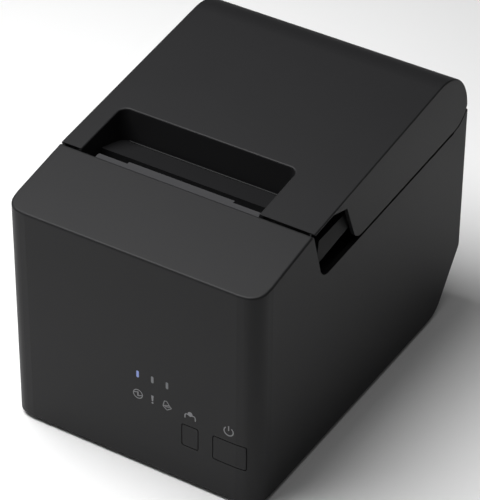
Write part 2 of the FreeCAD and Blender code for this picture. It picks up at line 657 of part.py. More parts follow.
flange = box("chassis_flange", chassis_left - 0.5, chassis_right + 0.5, chassis_front + 2, platen_y + 3.9,
             plate_top, plate_top + 1.5)
part_head = d.head_tilt
nip_y = platen_y - (d.platen_radius + 0.05) * cos(part_head)
nip_z = platen_z - (d.platen_radius + 0.05) * sin(part_head)


def head_point(along, away):
    return (nip_y - sin(part_head) * along - cos(part_head) * away, nip_z + cos(part_head) * along - sin(part_head) * away)


pivot_y, pivot_z = head_point(-14, 3.5)
pivot_hole = rod("pivot_hole", "X", pivot_y, pivot_z, -half, half, 1.5)
reduction_run = (d.platen_teeth + d.small_teeth) * d.gear_module / 2
reduction_y = platen_y + reduction_run * cos(d.reduction_angle)
reduction_z = platen_z + reduction_run * sin(d.reduction_angle)
motor_run = (d.large_teeth + d.pinion_teeth) * d.gear_module / 2
motor_y = reduction_y + motor_run * cos(d.motor_angle)
motor_z = reduction_z + motor_run * sin(d.motor_angle)
motor_hole = rod("motor_hole", "X", motor_y, motor_z, chassis_right - 1, chassis_right + 3, 4)
part(cut("chassis_item", fuse("chassis_body", *sides, crossbar, flange), seat, pivot_hole, motor_hole), "chassis")
right_face = chassis_right + d.chassis_sheet
catches = [rod("left_catch", "X", pin_y, pin_z, chassis_left - d.chassis_sheet - 7,
               chassis_left - d.chassis_sheet, d.catch_pin_radius),
           rod("right_catch", "X", pin_y, pin_z, right_face, right_face + 11, d.catch_pin_radius)]
part(group("catch_pins_item", *catches), "catch_pins")

# Thermal print head
head_left = paper_left - 0.7
head_right = paper_right + 0.3
part(prism("print_head_item", "YZ", [head_point(-16, 0), head_point(5, 0), head_point(5, 1), head_point(-16, 1)],
           head_left, head_right), "print_head")
sink = prism("sink", "YZ", [head_point(-18, 1), head_point(5, 1), head_point(5, 6), head_point(-18, 6)],
             head_left, head_right)
part(cut("heat_sink_item", sink, pivot_hole), "heat_sink")
part(rod("head_rod_item", "X", pivot_y, pivot_z, chassis_left - d.chassis_sheet, right_face, 1.5), "head_rod")
leaves = []
leaf_y, leaf_z = head_point(-2, 6)
for x in (paper_left + 14.3, paper_right - 19.7):
    leaves.append(prism("leaf", "YZ", [(chassis_front + 1.5, leaf_z), (leaf_y - 0.4, leaf_z), (leaf_y - 0.4, leaf_z + 0.5),
                  (chassis_front + 1.5, leaf_z + 0.5)], x, x + 8))
part(group("head_springs_item", *leaves), "head_springs")


# Gears have involute flanks drawn as arcs through three points of the curve
def involute(angle):
    return math.tan(angle) - angle


def gear_shape(teeth, module, y, z, x0, x1, phase, bore, press=25.0, thin=0.12):
    pitch = teeth * module / 2
    base = pitch * math.cos(math.radians(press))
    tip = pitch + 0.75 * module
    foot = pitch - module
    half_angle = (math.pi * module / 2 - thin) / 2 / pitch + involute(math.radians(press))

    def flank(radius, side, middle):
        turn = half_angle - involute(math.acos(min(1.0, base / radius)))
        angle = middle + side * turn
        return FreeCAD.Vector(x0, y + radius * math.cos(angle), z + radius * math.sin(angle))

    low = max(foot, base * 1.0005)
    edges = []
    last = None
    first = None
    for i in range(teeth):
        middle = phase + 2 * math.pi * i / teeth
        start = flank(low, -1, middle)
        stop = flank(low, 1, middle)
        angle_in = math.atan2(start.z - z, start.y - y)
        angle_out = math.atan2(stop.z - z, stop.y - y)
        root_in = FreeCAD.Vector(x0, y + foot * math.cos(angle_in), z + foot * math.sin(angle_in))
        root_out = FreeCAD.Vector(x0, y + foot * math.cos(angle_out), z + foot * math.sin(angle_out))
        if last is not None:
            edges.append(Part.LineSegment(last, root_in).toShape())
        else:
            first = root_in
        if low > foot + 1e-4:
            edges.append(Part.LineSegment(root_in, start).toShape())
        else:
            start = root_in
            stop = root_out
        tip_in = flank(tip, -1, middle)
        tip_out = flank(tip, 1, middle)
        mid = (low + tip) / 2
        edges.append(Part.Arc(start, flank(mid, -1, middle), tip_in).toShape())
        edges.append(Part.LineSegment(tip_in, tip_out).toShape())
        edges.append(Part.Arc(tip_out, flank(mid, 1, middle), stop).toShape())
        if low > foot + 1e-4:
            edges.append(Part.LineSegment(stop, root_out).toShape())
        last = root_out
    edges.append(Part.LineSegment(last, first).toShape())
    blank = Part.Face(Part.Wire(edges)).extrude(FreeCAD.Vector(x1 - x0, 0, 0))
    hole = Part.makeCylinder(bore, x1 - x0 + 2, FreeCAD.Vector(x0 - 1, y, z), FreeCAD.Vector(1, 0, 0))
    return blank.cut(hole)


def gear(name, teeth, y, z, x0, phase, bore):
    return feature(name, gear_shape(int(teeth.value), d.gear_module.value, y.value, z.value, x0.value,
                                    x0.value + d.gear_width.value, phase, bore.value))


def meshing(phase, teeth, other, angle):
    """Turn of the other gear that puts one of its gaps where this gear has a tooth."""
    line = math.radians(angle.value)
    offset = phase - line
    return line + math.pi - math.pi / other.value - offset * teeth.value / other.value


platen_phase = math.radians(d.reduction_angle.value)
small_phase = meshing(platen_phase, d.platen_teeth, d.small_teeth, d.reduction_angle)
large_phase = math.radians(d.motor_angle.value)
pinion_phase = meshing(large_phase, d.large_teeth, d.pinion_teeth, d.motor_angle)
stud_radius = size(2)
part(rod("reduction_stud_item", "X", reduction_y, reduction_z, right_face, second_plane + d.gear_width + 1,
         stud_radius), "reduction_stud")
small_gear = gear("small_gear", d.small_teeth, reduction_y, reduction_z, gear_plane, small_phase,
                  stud_radius + d.running_gap)
large_gear = gear("large_gear", d.large_teeth, reduction_y, reduction_z, second_plane, large_phase,
                  stud_radius + d.running_gap)
hub = cut("gear_hub", rod("hub_outer", "X", reduction_y, reduction_z, gear_plane + d.gear_width - 0.2,
          second_plane + 0.2, 3.5), rod("hub_bore", "X", reduction_y, reduction_z, gear_plane, second_plane + 1,
          stud_radius + d.running_gap))
part(fuse("reduction_gear_item", small_gear, large_gear, hub), "reduction_gear")
motor_shaft_radius = size(1.5)
motor_can = rod("motor_can", "X", motor_y, motor_z, chassis_right - d.motor_length, chassis_right, d.motor_radius)
part(cut("feed_motor_item", motor_can, rod("motor_bore", "X", motor_y, motor_z, chassis_right - 6,
         chassis_right + 1, motor_shaft_radius + d.running_gap)), "feed_motor")
pinion = gear("pinion", d.pinion_teeth, motor_y, motor_z, second_plane, pinion_phase, motor_shaft_radius)
part(fuse("motor_pinion_item", pinion, rod("motor_shaft", "X", motor_y, motor_z, chassis_right - 5.8,
          second_plane + d.gear_width, motor_shaft_radius)), "motor_pinion")

# Platen roller
shaft_end = gear_plane + d.gear_width + 0.5
part(rod("platen_shaft_item", "X", platen_y, platen_z, chassis_left - d.chassis_sheet - 1, shaft_end,
         d.platen_shaft_radius), "platen_shaft")
part(cut("platen_rubber_item", rod("rubber_outer", "X", platen_y, platen_z, paper_left - 0.2, paper_right + 0.2,
         d.platen_radius), rod("rubber_bore", "X", platen_y, platen_z, -half, half, d.platen_shaft_radius)),
     "platen_rubber")
part(gear("platen_gear_item", d.platen_teeth, platen_y, platen_z, gear_plane, platen_phase,
          d.platen_shaft_radius), "platen_gear")
bushings = []
left_arm = chassis_left + 1.5
right_arm = chassis_right - 2.4
arm_sheet = 1.6
for name, x0, x1 in (("left", chassis_left - d.chassis_sheet - 0.1, left_arm + arm_sheet),
                     ("right", right_arm, right_face + 0.1)):
    bushings.append(cut(name + "_bushing", rod(name + "_bushing_outer", "X", platen_y, platen_z, x0, x1,
                    d.bushing_radius), rod(name + "_bushing_bore", "X", platen_y, platen_z, -half, half,
                    d.platen_shaft_radius + d.running_gap)))
part(group("platen_bushings_item", *bushings), "platen_bushings")

# Platen holder: ramp at the paper exit with two arms, and the fixed blade under its lip
fixed_low = blade_z + d.blade_thickness + d.blade_gap
fixed_top = fixed_low + 1.2
ramp_back = recess_back - 0.3
ramp_top = recess_floor_z + d.ramp_rise
ramp_block = prism("ramp_block", "YZ", [
    (ramp_back, recess_floor_z), (ramp_front_y, ramp_top), (ramp_front_y, fixed_top),
    (ramp_front_y + 4, fixed_top), (ramp_front_y + 4, ramp_top - 4), (ramp_back, recess_floor_z - 2.6)],
    -recess_left + 0.3, recess_right - 0.3)
ramp_limit_block = box("ramp_limit_block", -recess_left + 0.3, recess_right - 0.3, front, ramp_back, below, above)
ramp_limit = rounded("ramp_limit", ramp_limit_block, (d.recess_corner, "z", lambda p: near(p.y, ramp_back)))
ramp = common("ramp", ramp_block, ramp_limit)
arms = []
for name, x in (("left", left_arm), ("right", right_arm)):
    arms.append(prism(name + "_arm", "YZ", [
        (ramp_front_y + 1, fixed_top), (ramp_front_y + 1, fixed_top + 3), (platen_y + 9, recess_floor_z),
        (platen_y + 9, platen_z + 6), (platen_y + 6, platen_z - 5), (platen_y - 3, platen_z - 5),
        (platen_y - 5, platen_z)], x, x + arm_sheet))
arm_bore = rod("arm_bore", "X", platen_y, platen_z, -half, half, d.bushing_radius)
bead = rod("ramp_bead", "X", ramp_back - d.bead_radius * 2, recess_floor_z + d.bead_radius, -recess_left + d.recess_corner,
           recess_right - d.recess_corner, d.bead_radius)
part(cut("platen_holder_item", fuse("holder_body", ramp, bead, *arms), arm_bore), "platen_holder")
part(box("fixed_blade_item", head_left, head_right, ramp_front_y - 4.8, ramp_front_y + 4, fixed_low, fixed_top), "fixed_blade")

# Cutter frame, blade with racks, shaft, gears and motor
cutter_right = second_plane + d.gear_width + 2.5
rack_pitch = fixed_low - d.blade_gap + 0.8
cutter_y = seam_y - d.cutter_advance
pinion_radius = d.rack_pinion_teeth * d.gear_module / 2
cutter_z = rack_pitch + pinion_radius
cutter_run = (d.cutter_teeth + d.cutter_pinion_teeth) * d.gear_module / 2
drive_y = cutter_y + cutter_run * cos(d.cutter_motor_angle)
drive_z = cutter_z + cutter_run * sin(d.cutter_motor_angle)
floor_plate = box("cutter_floor", chassis_left, chassis_right, cutter_y - 32, cutter_y + 13,
                  blade_floor - 1.3, blade_floor)
side_floor = box("cutter_side_floor", chassis_right - 1, cutter_right, cutter_y - 27, cutter_y - 16,
                 blade_floor - 1.3, blade_floor)
motor_plate = box("cutter_motor_plate", cutter_right - 1.5, cutter_right, cutter_y - 27, cutter_y - 2.5,
                  blade_floor - 9, blade_floor + 10)
ears = []
for x in (chassis_left + 1, chassis_right - 2):
    ears.append(box("cutter_ear", x, x + 1.5, cutter_y - 4, cutter_y + 4, blade_floor - 0.5, cutter_z + 4))
ear_bore = rod("ear_bore", "X", cutter_y, cutter_z, -half, cutter_right - 0.5, d.cutter_shaft_radius + d.running_gap)
drive_hole = rod("drive_hole", "X", drive_y, drive_z, cutter_right - 3, cutter_right + 1, 2.5)
part(cut("cutter_frame_item", fuse("cutter_body", floor_plate, side_floor, motor_plate, *ears), ear_bore, drive_hole),
     "cutter_frame")
blade_left = head_left
blade_right = head_right
edge_y = seam_y + d.blade_setback
blade_top = blade_z + d.blade_thickness
part(prism("moving_blade_item", "XY", [
    (blade_left, edge_y - d.blade_depth), (blade_right, edge_y - d.blade_depth), (blade_right, edge_y),
    ((paper_left + paper_right) / 2, edge_y - 2), (blade_left, edge_y)], blade_z, blade_top), "moving_blade")


def rack_shape(x0, x1, y, count, pitch_z, low, module, press=25.0, thin=0.12):
    step = math.pi * module
    lean = math.tan(math.radians(press))
    corners = [(y - count / 2 * step, low)]
    for i in range(count):
        middle = y + (i - (count - 1) / 2) * step
        width = (step / 2 - thin) / 2
        top = width - 0.75 * module * lean
        bottom = width + module * lean
        corners += [(middle - bottom, pitch_z - module), (middle - top, pitch_z + 0.75 * module),
                    (middle + top, pitch_z + 0.75 * module), (middle + bottom, pitch_z - module)]
    corners.append((y + count / 2 * step, low))
    points = [FreeCAD.Vector(x0, a, b) for a, b in corners]
    return Part.Face(Part.makePolygon(points + points[:1])).extrude(FreeCAD.Vector(x1 - x0, 0, 0))


rack_module = d.gear_module.value
rack_step = math.pi * rack_module
racks = []
rack_pinions = []
rack_phase = -math.pi / 2 + math.pi / d.rack_pinion_teeth.value
for i, x in enumerate((blade_left + 4, blade_right - 8)):
    racks.append(feature(f"rack_{i}", rack_shape(x.value, x.value + 4, cutter_y.value - rack_step,
                                                  int(d.rack_teeth_count.value), rack_pitch.value,
                                                  blade_top.value, rack_module)))
    rack_pinions.append(gear(f"rack_pinion_{i}", d.rack_pinion_teeth, cutter_y, cutter_z, x + 0.5, rack_phase,
                             d.cutter_shaft_radius))
part(group("blade_racks_item", *racks), "blade_racks")
part(group("cutter_pinions_item", *rack_pinions), "cutter_pinions")
part(rod("cutter_shaft_item", "X", cutter_y, cutter_z, chassis_left + 0.5, second_plane + d.gear_width + 0.5,
         d.cutter_shaft_radius), "cutter_shaft")
wheel_phase = math.radians(d.cutter_motor_angle.value)
part(gear("cutter_wheel_item", d.cutter_teeth, cutter_y, cutter_z, second_plane, wheel_phase, d.cutter_shaft_radius),
     "cutter_wheel")
drive_phase = meshing(wheel_phase, d.cutter_teeth, d.cutter_pinion_teeth, d.cutter_motor_angle)
drive_gear = gear("drive_gear", d.cutter_pinion_teeth, drive_y, drive_z, second_plane, drive_phase, size(1))
part(fuse("cutter_drive_gear_item", drive_gear, rod("drive_shaft", "X", drive_y, drive_z, second_plane,
          cutter_right + 4, 1)), "cutter_drive_gear")
cutter_can = rod("cutter_can", "X", drive_y, drive_z, cutter_right, inside - 1, d.cutter_motor_radius)
part(cut("cutter_motor_item", cutter_can, rod("cutter_can_bore", "X", drive_y, drive_z, cutter_right - 1,
         cutter_right + 4.5, 1 + d.running_gap)), "cutter_motor")

# Tear bar behind the front panel
bar_top = d.overall_height - 15.3
bar = box("bar", -half + 18.5, half - 31, seam_y + 1.4, seam_y + 5.2, bar_top - 3.2, bar_top)
land = box("bar_land", -half + 34.5, half - 46.8, seam_y + 5, seam_y + 6.8, bar_top - 2.2, bar_top)
legs = [box("bar_leg", chassis_left + 1.5, chassis_left + 4, seam_y + 1.4, seam_y + 4, blade_floor, bar_top - 3),
        box("bar_leg", chassis_right - 2.1, chassis_right - 0.1, seam_y + 1.4, seam_y + 4, blade_floor, bar_top - 3)]
part(fuse("tear_bar_item", bar, land, *legs), "tear_bar")

# Latch: lever, shaft and two hooks
lever_right = half - d.lever_face_inset
lever_left = lever_right - d.lever_thickness
lever_front = latch_y - d.lever_length
lever_low = latch_z - 7.6
lever_out = lever_right + d.lever_lip
lever_body = prism("lever_body", "YZ", [
    (lever_front, lever_low), (lever_front, latch_z - 3), (lever_front + 3.5, latch_z + 1.8),
    (latch_y - 10, latch_z + 2.4), (latch_y, latch_z + 4.5), (latch_y, latch_z - 4.5),
    (latch_y - 6, lever_low + d.lever_rise)], lever_left, lever_out)
lever_slope = prism("lever_slope", "XZ", [
    (lever_out, lever_low), (lever_out, lever_low - 1), (lever_out + 1, lever_low - 1), (lever_out + 1, latch_z + 6),
    (lever_right - 1.6, latch_z + 6)], lever_front - 1, latch_y + 1)
lever_end = box("lever_end", lever_right, lever_out + 1, notch_rear_y + 5, latch_y + 1, lever_low - 1, latch_z + 7)
lever_hub = rod("lever_hub", "X", latch_y, latch_z, lever_left, lever_right, 4.5)
lever_pocket = prism("lever_pocket", "YZ", [
    (lever_front + 2, latch_z - 9), (lever_front + 2, latch_z - 0.2), (latch_y - 12, latch_z + 1.2),
    (latch_y - 12, latch_z - 5), (latch_y - 27, latch_z - 9)],
    lever_left + 2, lever_right - 2)
lever_bore = rod("lever_bore", "X", latch_y, latch_z, lever_left - 1, lever_right - 1, d.latch_shaft_radius)
lever_face = cut("lever_face", lever_body, lever_slope, lever_end)


def on_lip(p):
    along = (p.y - lever_front.value) / (latch_y - 6 - lever_front).value
    return p.x > lever_right.value + 0.5 and near(p.z, lever_low + d.lever_rise * along)


lever_eased = eased("lever_eased", lever_face, d.lip_rounding, on_lip)
part(cut("open_lever_item", fuse("lever_solid", lever_eased, lever_hub), lever_pocket, lever_bore), "open_lever")
part(rod("latch_shaft_item", "X", latch_y, latch_z, -half + 9, lever_right - 1, d.latch_shaft_radius), "latch_shaft")
hooks = []
for name, x in (("left", -half + 10), ("right", half - 25)):
    arm = prism(name + "_hook_arm", "YZ", [
        (latch_y - 4.2, latch_z), (latch_y - 4.2, pin_z - 5.5), (pin_y + 1, pin_z - 5.5), (pin_y + 1, pin_z - 1.8),
        (pin_y - 2.2, pin_z - 1.8), (pin_y - 2.2, pin_z + 4), (latch_y + 4.5, latch_z)], x, x + 3)
    hook_hub = rod(name + "_hook_hub", "X", latch_y, latch_z, x, x + 3, 4.5)
    hook_bore = rod(name + "_hook_bore", "X", latch_y, latch_z, x - 1, x + 4, d.latch_shaft_radius)
    hooks.append(cut(name + "_hook", fuse(name + "_hook_body", arm, hook_hub), hook_bore))
part(group("latch_hooks_item", *hooks), "latch_hooks")

doc.recompute()
for item in doc.Objects:
    if "Invalid" in item.State or "Error" in item.State:
        raise RuntimeError(item.Name + " did not build")
os.makedirs("parts", exist_ok=True)
for item in parts:
    shape = item.Shape
    if shape.isNull() or not shape.isValid():
        raise RuntimeError(item.Label + " has no valid shape")
    shape.exportStep("parts/" + item.Label + ".step")
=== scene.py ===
import math

import bmesh
import bpy
from mathutils import Matrix, Vector


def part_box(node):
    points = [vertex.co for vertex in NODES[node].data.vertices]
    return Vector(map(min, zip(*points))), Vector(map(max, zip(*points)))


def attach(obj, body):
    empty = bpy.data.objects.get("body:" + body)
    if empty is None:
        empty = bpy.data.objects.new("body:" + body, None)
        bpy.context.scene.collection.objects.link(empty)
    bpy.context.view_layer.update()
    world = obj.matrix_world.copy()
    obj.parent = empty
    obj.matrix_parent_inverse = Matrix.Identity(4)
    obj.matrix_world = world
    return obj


bl_info = {
    "name": "Receipt printer",
    "version": (1, 0, 0),
    "blender": (4, 5, 0),
    "location": "3D View > Sidebar > Printer",
    "description": "Finishes, pictograms and studio for a desktop receipt printer",
    "category": "Object",
}

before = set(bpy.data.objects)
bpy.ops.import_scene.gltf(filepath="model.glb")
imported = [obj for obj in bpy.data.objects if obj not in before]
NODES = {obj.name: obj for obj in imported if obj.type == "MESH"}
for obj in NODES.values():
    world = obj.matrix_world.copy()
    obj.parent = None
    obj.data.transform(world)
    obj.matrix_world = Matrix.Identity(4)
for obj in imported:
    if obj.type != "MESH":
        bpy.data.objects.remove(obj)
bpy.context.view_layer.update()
FRONT_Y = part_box("body_case")[0][1]
MM = 0.001
MERGE_DISTANCE = 1e-7

# Sockets of nodes that are given by number
OBJECT_COORDINATES = 3
BRICK_JOINTS = 1
MIX_FACTOR, MIX_FIRST, MIX_SECOND = 0, 6, 7
MIX_COLOUR = 2

# Colours of the pieces behind the outer shell
ZINC = (0.4, 0.41, 0.42)
GROUND_STEEL = (0.56, 0.57, 0.59)
BLADE_STEEL = (0.2, 0.2, 0.21)
MOTOR_CAN = (0.16, 0.16, 0.17)
BRASS = (0.72, 0.53, 0.24)
HEAT_SINK_METAL = (0.66, 0.67, 0.69)
PLATED_SHELL = (0.6, 0.6, 0.62)
ACETAL = (0.72, 0.71, 0.66)
BUSHING_PLASTIC = (0.06, 0.06, 0.06)
HEAD_GLAZE = (0.24, 0.2, 0.16)
CHIP_MOULD = (0.018, 0.018, 0.019)
SOCKET_MOULD = (0.03, 0.03, 0.032)
SOLDER_MASK = (0.012, 0.09, 0.035)
FOOT_RUBBER = (0.02, 0.02, 0.02)
ROLLER_RUBBER = (0.035, 0.035, 0.038)
UNLIT_LENS = (0.16, 0.165, 0.175)
LAMP_GLOW = 0.2

# Centres of the pictograms on the front face, as x and z
SUPPLY_AT = (3.7 * MM, 44.2 * MM)
WARNING_AT = (11.9 * MM, 44.2 * MM)
ROLL_AT = (20.1 * MM, 44.2 * MM)
FEED_AT = (32.9 * MM, 42.6 * MM)
POWER_AT = (54.1 * MM, 43.8 * MM)

# Right half of the sheet that hangs over the roll in the feed pictogram, in mm
HANGING_SHEET = ((1.2, 1.3), (1.8, 1.6), (2.4, 1.45), (2.8, 0.8), (2.9, -1.1))

# Stage and camera
FLOOR_REACH = 6.0
SENSOR_WIDTH = 36.0
FAR_CLIP = 50.0
CAMERA_PLACE = Vector((0.581174, -0.954698, 0.909015))
CAMERA_RIGHT = Vector((0.851227, 0.524761, 0.00624))
CAMERA_UP = Vector((-0.320703, 0.510735, 0.797684))


# Shader maths as Python expressions
class Signal:
    """A node socket that can be used in sums; numbers stay plain until a node needs them."""

    def __init__(self, tree, socket):
        self.tree = tree
        self.socket = socket

    def math(self, operation, *values):
        node = self.tree.nodes.new("ShaderNodeMath")
        node.operation = operation
        for socket, value in zip(node.inputs, values):
            wire(self.tree, socket, value)
        return Signal(self.tree, node.outputs[0])

    def __add__(self, other):
        return self.math("ADD", self, other)

    def __radd__(self, other):
        return self.math("ADD", other, self)

    def __mul__(self, other):
        return self.math("MULTIPLY", self, other)

    def __rmul__(self, other):
        return self.math("MULTIPLY", other, self)


def wire(tree, socket, value):
    """Links a signal to a socket, or sets a plain value on it."""
    if isinstance(value, Signal):
        tree.links.new(value.socket, socket)
    else:
        socket.default_value = value


def scaled(colour, amount):
    return tuple(min(1.0, part * amount) for part in colour)


class Finish:
    """One material under construction, with its shader and a method that adds any node."""

    def __init__(self, name):
        self.material = bpy.data.materials.new(name)
        self.material.use_nodes = True
        self.tree = self.material.node_tree
        self.shader = self.tree.nodes["Principled BSDF"]

    def node(self, kind, settings, sockets, output=0):
        """Adds a node; sockets are given by name or number."""
        item = self.tree.nodes.new(kind)
        for key, value in settings.items():
            setattr(item, key, value)
        for key, value in sockets.items():
            wire(self.tree, item.inputs[key], value)
        return Signal(self.tree, item.outputs[output])

    def set(self, **values):
        """Sets or links sockets of the shader, with _ for each space in their names."""
        for key, value in values.items():
            wire(self.tree, self.shader.inputs[key.replace("_", " ")], value)
        return self

    def place(self):
        return self.node("ShaderNodeTexCoord", {}, {}, OBJECT_COORDINATES)

    def stretched(self, scale):
        return self.node("ShaderNodeMapping", {}, {"Vector": self.place(), "Scale": scale})

    def noise(self, scale, detail=2.0, roughness=0.5):
        return self.node("ShaderNodeTexNoise", {}, {
            "Vector": self.place(), "Scale": scale, "Detail": detail, "Roughness": roughness})

    def bump(self, height, strength, distance):
        return self.node("ShaderNodeBump", {}, {
            "Height": height, "Strength": strength, "Distance": distance})

    def mottle(self, factor, colour, dark, light):
        """A colour that varies between dark and light times itself."""
        return self.node("ShaderNodeMix", {"data_type": "RGBA"}, {
            MIX_FACTOR: factor, MIX_FIRST: (*scaled(colour, dark), 1.0),
            MIX_SECOND: (*scaled(colour, light), 1.0)}, MIX_COLOUR)


def textured_plastic(name, colour, roughness, grain=2200.0):
    """Moulded plastic with a fine spark-eroded grain."""
    finish = Finish(name)
    grains = finish.noise(grain, detail=3.0, roughness=0.6)
    cloud = finish.noise(35.0)
    finish.set(Base_Color=finish.mottle(cloud, colour, dark=0.94, light=1.06),
               Roughness=roughness - 0.04 + grains * 0.08,
               Normal=finish.bump(grains, strength=0.35, distance=0.00004),
               Specular_IOR_Level=0.2)
    return finish.material


def sheet_metal(name, colour, roughness):
    """Plated or ground metal with a faint grain along X."""
    finish = Finish(name)
    along = finish.stretched((20.0, 800.0, 800.0))
    grain = finish.node("ShaderNodeTexNoise", {}, {"Vector": along, "Scale": 1.0, "Detail": 3.0})
    finish.set(Base_Color=finish.mottle(grain, colour, dark=0.9, light=1.08),
               Roughness=roughness + grain * 0.1, Metallic=1.0)
    return finish.material


def rubber(name, colour):
    """Matt rubber with a ground surface."""
    finish = Finish(name)
    grain = finish.noise(900.0, detail=3.0)
    finish.set(Base_Color=finish.mottle(grain, colour, dark=0.85, light=1.15),
               Roughness=0.78 + grain * 0.1,
               Normal=finish.bump(grain, strength=0.3, distance=0.00005))
    return finish.material


def circuit_board(name, colour):
    """Solder mask with faint copper runs under it."""
    finish = Finish(name)
    spread = finish.stretched((260.0, 260.0, 260.0))
    runs = finish.node("ShaderNodeTexBrick", {"offset": 0.3}, {
        "Vector": spread, "Scale": 1.0, "Mortar Size": 0.06}, BRICK_JOINTS)
    finish.set(Base_Color=finish.mottle(runs, colour, dark=1.0, light=1.7), Roughness=0.35 + runs * 0.08)
    return finish.material


def lamp_lens(name, colour, glow):
    """Clear lamp window with a slight haze; glow 0 leaves it unlit."""
    finish = Finish(name)
    haze = finish.noise(1500.0)
    finish.set(Base_Color=finish.mottle(haze, colour, dark=0.95, light=1.05), Roughness=0.3 + haze * 0.05)
    if glow:
        finish.set(Emission_Color=(*colour, 1.0), Emission_Strength=glow)
    return finish.material


def dress(material, *names):
    """Gives CAD nodes one finish."""
    for name in names:
        node = NODES[name]
        node.data.materials.clear()
        node.data.materials.append(material)


# Sizes and colours that a user may change
class PlasticLook(bpy.types.PropertyGroup):
    """Colours of the moulded outside"""
    case: bpy.props.FloatVectorProperty(
        name="Case", description="Colour of the case plastic", subtype="COLOR",
        default=(0.0105, 0.0105, 0.0112))
    cover: bpy.props.FloatVectorProperty(
        name="Cover", description="Colour of the roll cover", subtype="COLOR",
        default=(0.0105, 0.0105, 0.0112))
    bar: bpy.props.FloatVectorProperty(
        name="Tear bar", description="Colour of the tear bar", subtype="COLOR",
        default=(0.039, 0.039, 0.041))
    roughness: bpy.props.FloatProperty(
        name="Roughness", description="Roughness of the case plastic", default=0.5, min=0.05, max=1.0)


class PrintLook(bpy.types.PropertyGroup):
    """Pictograms printed on the front, and the lit lamp above them"""
    ink: bpy.props.FloatVectorProperty(
        name="Ink", description="Colour of the printed pictograms", subtype="COLOR",
        default=(0.25, 0.25, 0.26))
    lamp: bpy.props.FloatVectorProperty(
        name="Lamp", description="Colour of the lit lamp", subtype="COLOR", default=(0.2, 0.26, 0.56))
    film: bpy.props.FloatProperty(
        name="Film", description="Thickness of the ink", default=0.00005, unit="LENGTH", precision=6)
    stroke: bpy.props.FloatProperty(
        name="Stroke", description="Line width of the pictograms", default=0.0006, unit="LENGTH",
        precision=5)


class StudioLook(bpy.types.PropertyGroup):
    """Floor, light and camera"""
    floor: bpy.props.FloatVectorProperty(
        name="Floor", description="Colour of the floor", subtype="COLOR", default=(0.88, 0.88, 0.88))
    sky: bpy.props.FloatProperty(
        name="Sky", description="Strength of the even light all round", default=0.08, min=0.0)
    key: bpy.props.FloatProperty(
        name="Key light", description="Power of the large light above", default=8.5, min=0.0,
        unit="POWER")
    side: bpy.props.FloatProperty(
        name="Side light", description="Power of the light from the left", default=1.0, min=0.0,
        unit="POWER")
    fill: bpy.props.FloatProperty(
        name="Fill light", description="Power of the light over the floor on the right", default=4.0,
        min=0.0, unit="POWER")
    lens: bpy.props.FloatProperty(
        name="Lens", description="Focal length of the camera in mm", default=204.945, min=1.0)


class PRINTER_OT_shell(bpy.types.Operator):
    """Finishes the moulded outside: case, cover, lever, keys, bar, base, bucket and feet"""
    bl_idname = "printer.shell"
    bl_label = "Outer shell"

    def execute(self, context):
        look = context.scene.printer_plastic
        case = textured_plastic("case_plastic", tuple(look.case), look.roughness)
        cover = textured_plastic("cover_plastic", tuple(look.cover), look.roughness)
        inner = textured_plastic("inner_plastic", scaled(look.case, 0.85), look.roughness + 0.05)
        bar = textured_plastic("bar_plastic", tuple(look.bar), roughness=0.42)
        dress(case, "body_case", "feed_button", "power_button")
        dress(cover, "roll_cover")
        dress(inner, "platen_holder", "open_lever", "base_plate", "paper_bucket")
        dress(bar, "tear_bar")
        dress(rubber("foot_rubber", FOOT_RUBBER), "rubber_feet")
        return {"FINISHED"}


class PRINTER_OT_mechanism(bpy.types.Operator):
    """Finishes the print mechanism: sheet metal, shafts, gears, roller, head and motors"""
    bl_idname = "printer.mechanism"
    bl_label = "Mechanism"

    def execute(self, context):
        dress(sheet_metal("zinc_sheet", ZINC, roughness=0.38),
              "chassis", "cutter_frame", "connector_panel", "hinge_brackets")
        dress(sheet_metal("ground_steel", GROUND_STEEL, roughness=0.2),
              "base_screws", "panel_screws", "hinge_pins", "catch_pins", "head_rod", "head_springs",
              "reduction_stud", "platen_shaft", "cutter_shaft", "latch_shaft", "latch_hooks")
        dress(sheet_metal("blade_steel", BLADE_STEEL, roughness=0.36), "fixed_blade", "moving_blade")
        dress(sheet_metal("motor_can", MOTOR_CAN, roughness=0.36), "feed_motor", "cutter_motor")
        dress(sheet_metal("brass_pinion", BRASS, roughness=0.26), "motor_pinion", "cutter_drive_gear")
        dress(sheet_metal("heat_sink_metal", HEAT_SINK_METAL, roughness=0.38), "heat_sink")
        dress(textured_plastic("acetal", ACETAL, roughness=0.42, grain=900.0),
              "platen_gear", "reduction_gear", "cutter_wheel", "cutter_pinions", "blade_racks")
        dress(textured_plastic("bushing_plastic", BUSHING_PLASTIC, roughness=0.45), "platen_bushings")
        dress(rubber("roller_rubber", ROLLER_RUBBER), "platen_rubber")
        dress(textured_plastic("head_glaze", HEAD_GLAZE, roughness=0.18, grain=500.0), "print_head")
        return {"FINISHED"}


class PRINTER_OT_electronics(bpy.types.Operator):
    """Finishes the boards, their parts and the rear sockets"""
    bl_idname = "printer.electronics"
    bl_label = "Electronics"

    def execute(self, context):
        dress(circuit_board("solder_mask", SOLDER_MASK), "main_board", "panel_board")
        dress(textured_plastic("chip_mould", CHIP_MOULD, roughness=0.5), "board_parts", "tact_switches")
        dress(textured_plastic("socket_mould", SOCKET_MOULD, roughness=0.45), "drawer_port", "power_inlet")
        dress(sheet_metal("plated_shell", PLATED_SHELL, roughness=0.25), "usb_port")
        return {"FINISHED"}


class PRINTER_OT_lamps(bpy.types.Operator):
    """Finishes the indicator lenses: the first one is lit"""
    bl_idname = "printer.lamps"
    bl_label = "Lamps"

    def execute(self, context):
        look = context.scene.printer_print
        dress(lamp_lens("lit_lens", tuple(look.lamp), LAMP_GLOW), "power_lens")
        dress(lamp_lens("unlit_lens", UNLIT_LENS, glow=0.0), "status_lenses")
        return {"FINISHED"}


